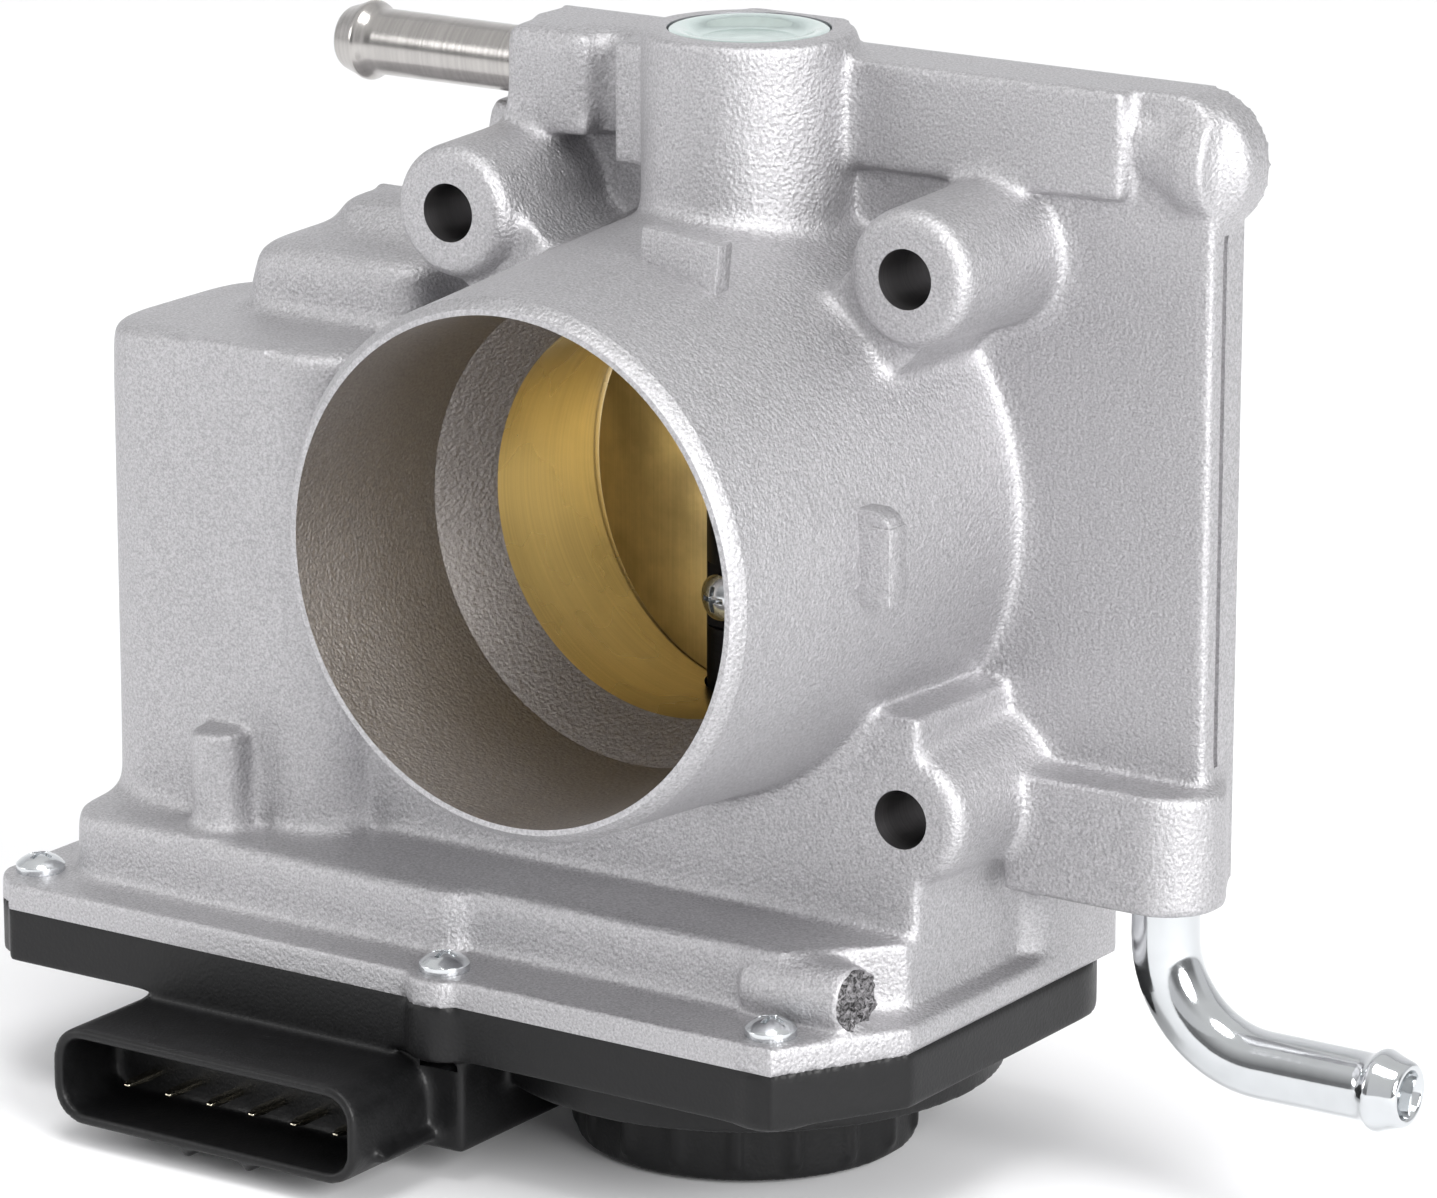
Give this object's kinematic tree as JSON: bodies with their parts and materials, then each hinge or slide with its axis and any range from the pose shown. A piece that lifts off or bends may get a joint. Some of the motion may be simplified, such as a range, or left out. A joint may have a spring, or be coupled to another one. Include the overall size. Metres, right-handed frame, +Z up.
{
  "type": "electronic throttle body",
  "caption": "Cast aluminium throttle body with a brass plate on a vertical shaft, gear case with motor, moulded cover with connector, and coolant nipples.",
  "frame": {"origin": "where the throttle bore axis meets the rear mounting face, at the centre of the mounting hole pattern", "axes": "+Y out of the mounting face, the way the air leaves; +Z up along the throttle shaft, away from the gear case; +X to the side of the bent coolant pipe"},
  "size_m": [0.1801, 0.0894, 0.1378],
  "materials": {
    "cast_housing": "die cast, shot blasted",
    "shaft_black": "black oxide",
    "plate_brass": "rolled and turned",
    "zinc_bright": "bright zinc",
    "bearing_steel": "ground",
    "seal_rubber": "moulded",
    "gear_plastic": "moulded acetal",
    "magnet_grey": "sintered",
    "spring_steel": "drawn wire",
    "motor_steel": "zinc plated, deep drawn",
    "armature_core": "laminations and enamelled wire",
    "pinion_brass": "machined",
    "black_plastic": "moulded, fine spark texture",
    "contact_tin": "tinned",
    "board_green": "solder mask",
    "nipple_steel": "satin nickel"
  },
  "bodies": {
    "body": {"housing": "cast_housing", "upper_bearing": "bearing_steel", "lower_bearing": "bearing_steel", "shaft_seal": "seal_rubber", "core_plug": "zinc_bright", "return_spring": "spring_steel", "stop_screw": "zinc_bright", "intermediate_pin": "bearing_steel", "motor_can": "motor_steel", "motor_magnets": "magnet_grey", "motor_end_cap": "black_plastic", "motor_screws": "zinc_bright", "motor_wave_spring": "spring_steel", "motor_terminals": "contact_tin", "gear_cover": "black_plastic", "cover_seal": "seal_rubber", "cover_screws": "zinc_bright", "cover_inserts": "zinc_bright", "sensor_board": "board_green", "connector_pins": "contact_tin", "straight_nipple": "nipple_steel", "bent_nipple": "zinc_bright"},
    "throttle": {"throttle_shaft": "shaft_black", "throttle_plate": "plate_brass", "plate_screws": "zinc_bright", "sector_gear": "gear_plastic", "sensor_magnets": "magnet_grey", "shaft_nut": "zinc_bright"},
    "idler": {"intermediate_gear": "gear_plastic"},
    "rotor": {"motor_shaft": "bearing_steel", "motor_pinion": "pinion_brass", "motor_armature": "armature_core"}
  },
  "joints": [
    {"name": "throttle_turn", "type": "hinge", "parent": "body", "child": "throttle", "pos_m": [0, -0.0115, 0], "axis": [0, 0, -1], "range_deg": [-10, 78], "stiffness_Nm_per_rad": 0.25},
    {"name": "idler_turn", "type": "hinge", "parent": "body", "child": "idler", "pos_m": [-0.03593, -0.00919, 0], "axis": [0, 0, -1], "range_deg": [-274, 36]},
    {"name": "rotor_turn", "type": "hinge", "parent": "body", "child": "rotor", "pos_m": [-0.0635, -0.0175, 0], "axis": [0, 0, -1], "range_deg": [-146, 1132]}
  ],
  "couplings": [
    {"joint": "idler_turn", "follows": "throttle_turn", "ratio": -3.5},
    {"joint": "rotor_turn", "follows": "throttle_turn", "ratio": 14.5}
  ]
}
